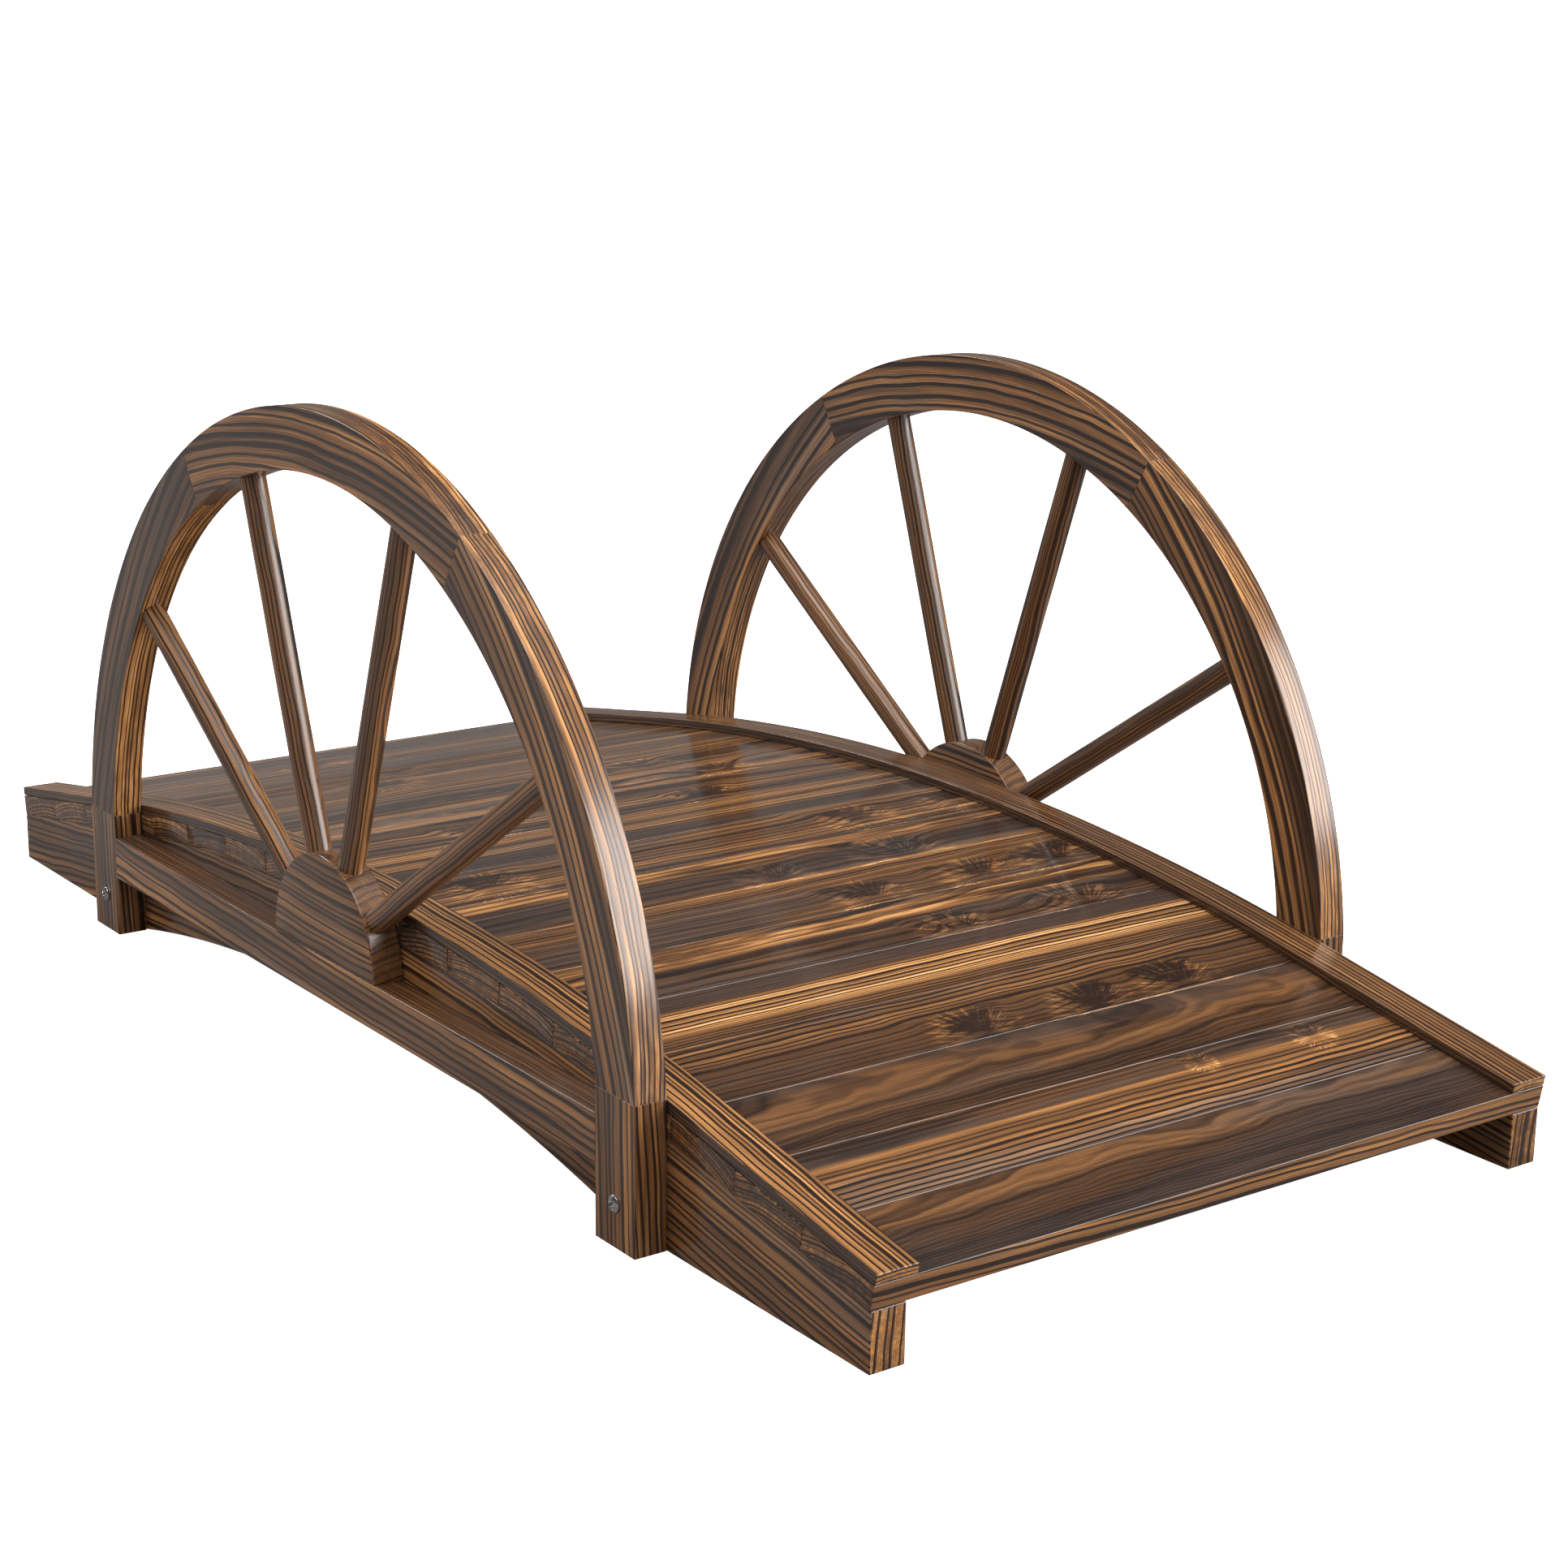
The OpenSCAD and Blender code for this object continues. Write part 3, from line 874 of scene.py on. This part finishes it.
# Top faces of the deck boards by number: pith across and deep and ring gap, in millimetres, and the slope of
# the pith; then rows across the board, from its back edge at -28 to its front edge at 28, of
# (place, tone, smoke, contrast, smear); and knots as (along, towards the front, size), where one with a
# negative size has a fan of hairs in place of a dark heart
deck_figure = {
    18: ((30, -60, 5.0, 0.01), [
        (-28, 0.34, 0.05, 0.3, 0), (-22, 0.42, 0, 0.5, 0), (-12, 0.42, 0, 0.5, 0),
        (-6, 0.25, 0.05, 0.2, 0.04), (28, 0.20, 0.1, 0.12, 0.06)], []),
    17: ((-150, -26, 4.6, 0.004), [
        (-28, 0.44, 0, 0.6, 0.22), (-13, 0.36, 0, 0.6, 0.2), (-11.5, 0.78, -0.3, 0.5, 0),
        (-9.5, 0.50, -0.2, 0.8, 0), (1, 0.52, -0.2, 1.6, 0), (5, 0.66, -0.1, 2.6, 0),
        (14, 0.64, 0, 3.0, 0), (24, 0.60, 0.1, 3.0, 0), (28, 0.34, 0.1, 1.0, 0)],
        [(378, -18, -12), (296, -20, -9)]),
    16: ((20, -70, 5.6, 0.02), [
        (-28, 0.28, 0.12, 0.3, 0), (-16, 0.34, 0, 0.5, 0.03), (-4, 0.39, -0.1, 0.6, 0),
        (4, 0.40, -0.1, 0.6, 0), (10, 0.32, 0, 0.4, 0.05), (16, 0.24, 0, 0.3, 0.06),
        (28, 0.21, 0.05, 0.2, 0.08)], []),
    15: ((110, -50, 4.0, 0.02), [
        (-28, 0.50, 0, 2.3, 0), (-14, 0.48, 0, 2.2, 0), (-6, 0.42, -0.1, 1.4, 0),
        (-2, 0.34, -0.15, 0.5, 0), (28, 0.28, -0.1, 0.5, 0.05)],
        [(206, 10, 26), (286, 12, 26), (354, 10, 26)]),
    14: ((-130, -20, 2.9, 0.003), [
        (-28, 0.30, 0.25, 0.3, 0), (-13, 0.33, 0.2, 0.5, 0), (-10, 0.74, -0.1, 2.4, 0),
        (10, 0.78, -0.1, 2.5, 0), (12.5, 0.92, -0.3, 0.5, 0), (14.5, 0.43, 0, 1.0, 0),
        (28, 0.45, -0.1, 1.4, 0)], []),
    13: ((40, -40, 5.0, 0.02), [
        (-28, 0.42, -0.1, 0.7, 0.1), (-23, 0.50, -0.1, 0.7, 0.2), (-19, 0.84, -0.3, 0.6, 0.48),
        (-8, 0.82, -0.3, 0.6, 0.48), (-4, 0.44, 0, 0.7, 0.2), (12, 0.44, 0, 0.7, 0.2),
        (28, 0.36, 0.05, 0.7, 0.12)], [(280, 12, -24), (374, 12, -30)]),
    12: ((90, -40, 4.0, 0.02), [
        (-28, 0.80, -0.3, 0.5, 0), (-25, 0.46, -0.1, 1.0, 0), (-6, 0.42, 0, 0.8, 0.03),
        (14, 0.40, 0, 0.7, 0), (21, 0.40, 0, 0.8, 0.1), (25, 0.28, 0.1, 0.6, 0.1),
        (28, 0.72, -0.2, 0.5, 0.4)], [(264, 6, 25), (346, 6, 26), (408, 4, 27)]),
    11: ((-50, -44, 5.0, -0.02), [
        (-28, 0.46, -0.2, 0.8, 0.1), (-24, 0.84, -0.3, 0.6, 0.46), (-14, 0.80, -0.3, 0.6, 0.46),
        (-9, 0.40, 0, 0.8, 0.2), (-4, 0.38, 0.1, 0.7, 0.12), (18, 0.38, 0.1, 0.7, 0.12),
        (25, 0.44, 0, 0.7, 0.1), (28, 0.78, -0.2, 0.5, 0.1)], [(230, 10, -22), (326, 8, -30)]),
    10: ((70, -44, 4.4, 0.02), [
        (-28, 0.40, 0, 1.5, 0), (-10, 0.40, 0.05, 1.4, 0.04), (10, 0.44, -0.1, 1.4, 0.03),
        (17, 0.74, -0.2, 1.0, 0), (21, 0.38, 0, 1.6, 0), (28, 0.30, 0, 1.6, 0.05)],
        [(76, -6, 25), (348, -6, 26), (426, -8, 22)]),
    9: ((-120, -30, 3.8, 0.004), [
        (-28, 0.50, 0, 2.0, 0), (-17, 0.76, -0.2, 2.2, 0), (-8, 0.38, 0, 1.6, 0),
        (4, 0.70, -0.1, 2.2, 0), (12, 0.38, 0, 1.6, 0), (28, 0.36, 0.1, 1.4, 0)], []),
    8: ((30, -46, 4.6, -0.02), [
        (-28, 0.42, 0.1, 1.4, 0.05), (-14, 0.36, 0, 1.2, 0), (-2, 0.60, -0.1, 1.8, 0),
        (8, 0.66, -0.2, 2.0, 0), (14, 0.40, 0, 1.4, 0), (28, 0.36, 0.1, 1.4, 0.05)],
        [(130, 0, 22), (300, 6, 22)]),
}


def drawn_board():
    """Values for a board that the list doesn't give: straight grain, or wavy grain with one knot."""
    draw = chooser.uniform
    straight = chooser.random() < 0.5
    if straight:
        pith = (draw(90, 150), -30, draw(2.8, 3.8), 0.004)
    else:
        pith = (draw(-60, 60), draw(-60, -40), draw(4.5, 6.5), draw(-0.02, 0.02))
    rows = [(at, draw(0.36, 0.62), draw(-0.2, 0.1), draw(1.0, 1.8), draw(0, 0.1))
            for at in (-28, -19, -9, 0, 9, 19, 28)]
    knots = [] if straight else [(draw(60, 400), draw(-8, 8), 22)]
    return pith, rows, knots


def deck_board_look(number):
    """Faces, knots and top profile of a deck board."""
    pith, rows, knots = deck_figure[number] if number in deck_figure else drawn_board()
    rows = np.array(rows, float)
    draw = chooser.uniform

    def profile(log_place):
        """Tone, smoke, contrast and smear, on straight lines between the rows."""
        front = -log_place[:, 1] / MM
        return np.stack([np.interp(front, rows[:, 0], rows[:, k]) for k in (1, 2, 3, 4)], axis=1)

    faces = {"top": face(*pith[:3], 0.4, slope=pith[3]),
             "side": face(draw(-20, 20), -70, 4.6, 0.56, 1.7, -0.15, slope=0.03),
             "end": face(draw(-40, 40), -160, draw(1.8, 3.0), draw(0.38, 0.46), draw(1.8, 2.4),
                         draw(-0.1, 0.0))}
    return faces, [(a * MM, -c * MM, size * MM) for a, c, size in knots], profile


def build_bridge():
    """All the timbers and the screws, with the figure on each face."""
    for number in range(1, board_count + 1):
        build_board(number, *deck_board_look(number))
    for side in ("right", "left"):
        build_stringer(side, {"side": face(60, -110, 4.2, 0.52, 2.1, 0.02, slope=0.02),
                              "top": face(120, -20, 3.0, 0.4), "end": face(400, 0, 4.6, 0.58, 2.0, -0.1)})
        build_kerb(side, {"top": face(110, -6, 3.5, 0.65 if side == "right" else 0.50, 2.6, -0.2),
                          "side": face(20, -60, 2.4, 0.28, 1.6, 0.05, slope=0.002),
                          "end": face(0, -90, 2.2, 0.64, 1.4, -0.2)})
        for number in range(1, felloe_count + 1):
            build_felloe(side, number, {
                "side": face(70, -115, 8.0 if number == felloe_count else 5.4, 0.45, 2.5, 0.0, 0.04,
                             slope=chooser.uniform(-0.02, 0.02)),
                "top": face(-110, -18, 2.9, 0.48 if number == 2 else 0.63, 2.6, -0.1)})
        for end in ("front", "back"):
            build_post(side, end, {"side": face(-30, -110, 4.0, 0.52, 2.4, -0.15, slope=0.05),
                                   "top": face(-100, -60, 4.4, 0.49, 2.1, -0.05, slope=0.05)})
        build_rail(side, {"side": face(34, -58, 4.6, 0.52, 2.2, slope=0.03),
                          "top": face(-90, -30, 3.0, 0.38, 1.0)})
        build_hub(side, {"top": face(-10, -90, 4.0, 0.42, 0.6, -0.2),
                         "end": face(-60, -120, 4.0, 0.46, 1.9, slope=0.02)})
        for number in range(1, spoke_count + 1):
            build_spoke(side, number, {"top": face(-60, -40, 2.4, 0.45, 1.8, -0.05, slope=0.01)})
    build_screws()


build_bridge()


# Studio

def build_floor():
    """Pale floor, wide enough to fill the view. The timbers see it darker than the camera does, with a
    faint glow beyond the near wheel."""
    reach = 400.0
    corners = [(-reach, -reach, 0), (reach, -reach, 0), (reach, reach, 0), (-reach, reach, 0)]
    mesh = bpy.data.meshes.new("studio_floor")
    mesh.from_pydata(corners, [], [(0, 1, 2, 3)])
    floor = new_object("studio_floor", mesh)
    material, tree, shader = new_material("studio floor")
    shader.inputs["Roughness"].default_value = 0.9
    shader.inputs["Specular IOR Level"].default_value = 0.0
    seen = Value(tree.nodes.new("ShaderNodeLightPath").outputs["Is Camera Ray"])
    _, across, _ = parts_of(Value(tree.nodes.new("ShaderNodeTexCoord").outputs["Object"]))
    beside = blended((across * -1.0).rise(0.24, 0.36), (0, 0, 0, 1), (0.12, 0.117, 0.114, 1))
    join(shader.inputs["Base Color"], blended(seen, (0.16, 0.15, 0.145, 1), (0.96, 0.96, 0.96, 1)))
    join(shader.inputs["Emission Color"], blended(seen, beside, (1, 1, 1, 1)))
    shader.inputs["Emission Strength"].default_value = 0.92
    mesh.materials.append(material)


def build_sky():
    """Soft studio surroundings: dim at the horizon, darkest half way up and bright overhead."""
    world = bpy.data.worlds.new("studio")
    bpy.context.scene.world = world
    world.use_nodes = True
    tree = world.node_tree
    background = tree.nodes["Background"]
    _, _, height = parts_of(Value(tree.nodes.new("ShaderNodeTexCoord").outputs["Generated"]))
    join(background.inputs["Color"], graded(height, [
        (0.0, 120, 118, 116), (0.12, 126, 124, 122), (0.24, 120, 118, 116), (0.36, 86, 85, 84),
        (0.5, 62, 61, 60), (0.7, 96, 95, 94), (0.85, 225, 224, 222), (1.0, 255, 254, 252)]))
    background.inputs["Strength"].default_value = 1.0


def add_softbox(name, direction, distance, wide, high, power, mirrored=True, target=(0, 0, 0.15)):
    """Soft light of that size, at a distance in a direction from the target, and facing it. One that
    isn't mirrored lights the timber and leaves no shine on the varnish."""
    light = bpy.data.lights.new(name, "AREA")
    light.shape, light.size, light.size_y, light.energy = "RECTANGLE", wide, high, power
    lamp = new_object(name, light)
    way = Vector(direction).normalized()
    lamp.location = Vector(target) + way * distance
    lamp.rotation_euler = way.to_track_quat("Z", "Y").to_euler()
    lamp.visible_camera = False
    lamp.visible_glossy = mirrored


def build_camera():
    """Long lens at the photograph's angle, with a slight roll."""
    azimuth, elevation, roll = np.radians([53.8833, 15.1771, 0.8502])
    flat = np.cos(elevation)
    back = np.array([np.sin(azimuth) * flat, -np.cos(azimuth) * flat, np.sin(elevation)])
    level = np.cross(-back, [0, 0, 1])
    level /= np.linalg.norm(level)
    upright = np.cross(level, -back)
    right = np.cos(roll) * level + np.sin(roll) * upright
    up = -np.sin(roll) * level + np.cos(roll) * upright
    turn = np.eye(4)
    turn[:3, 0], turn[:3, 1], turn[:3, 2] = right, up, back
    turn[:3, 3] = np.array([1480.9095, -999.275, 620.1038]) * MM
    data = bpy.data.cameras.new("camera")
    data.sensor_width, data.lens = 36.0, 67.983
    data.clip_start, data.clip_end = 0.05, 2000.0
    camera = new_object("camera", data)
    camera.matrix_world = Matrix(turn.tolist())
    bpy.context.scene.camera = camera


build_floor()
build_sky()
add_softbox("key", (0.755, 0.56, 0.355), 4.0, 3.0, 2.2, 190)
add_softbox("overhead", (0.25, -0.15, 1.0), 3.5, 2.6, 2.6, 100)
add_softbox("edge strip", (-0.78, -0.25, 0.58), 4.0, 1.6, 0.7, 50)
add_softbox("side fill", (-0.20, -0.85, 0.40), 4.5, 3.0, 2.0, 95, mirrored=False)
add_softbox("front fill", (0.95, -0.15, 0.30), 4.5, 3.0, 2.0, 50, mirrored=False)
build_camera()
bpy.context.scene.view_settings.view_transform = "Standard"
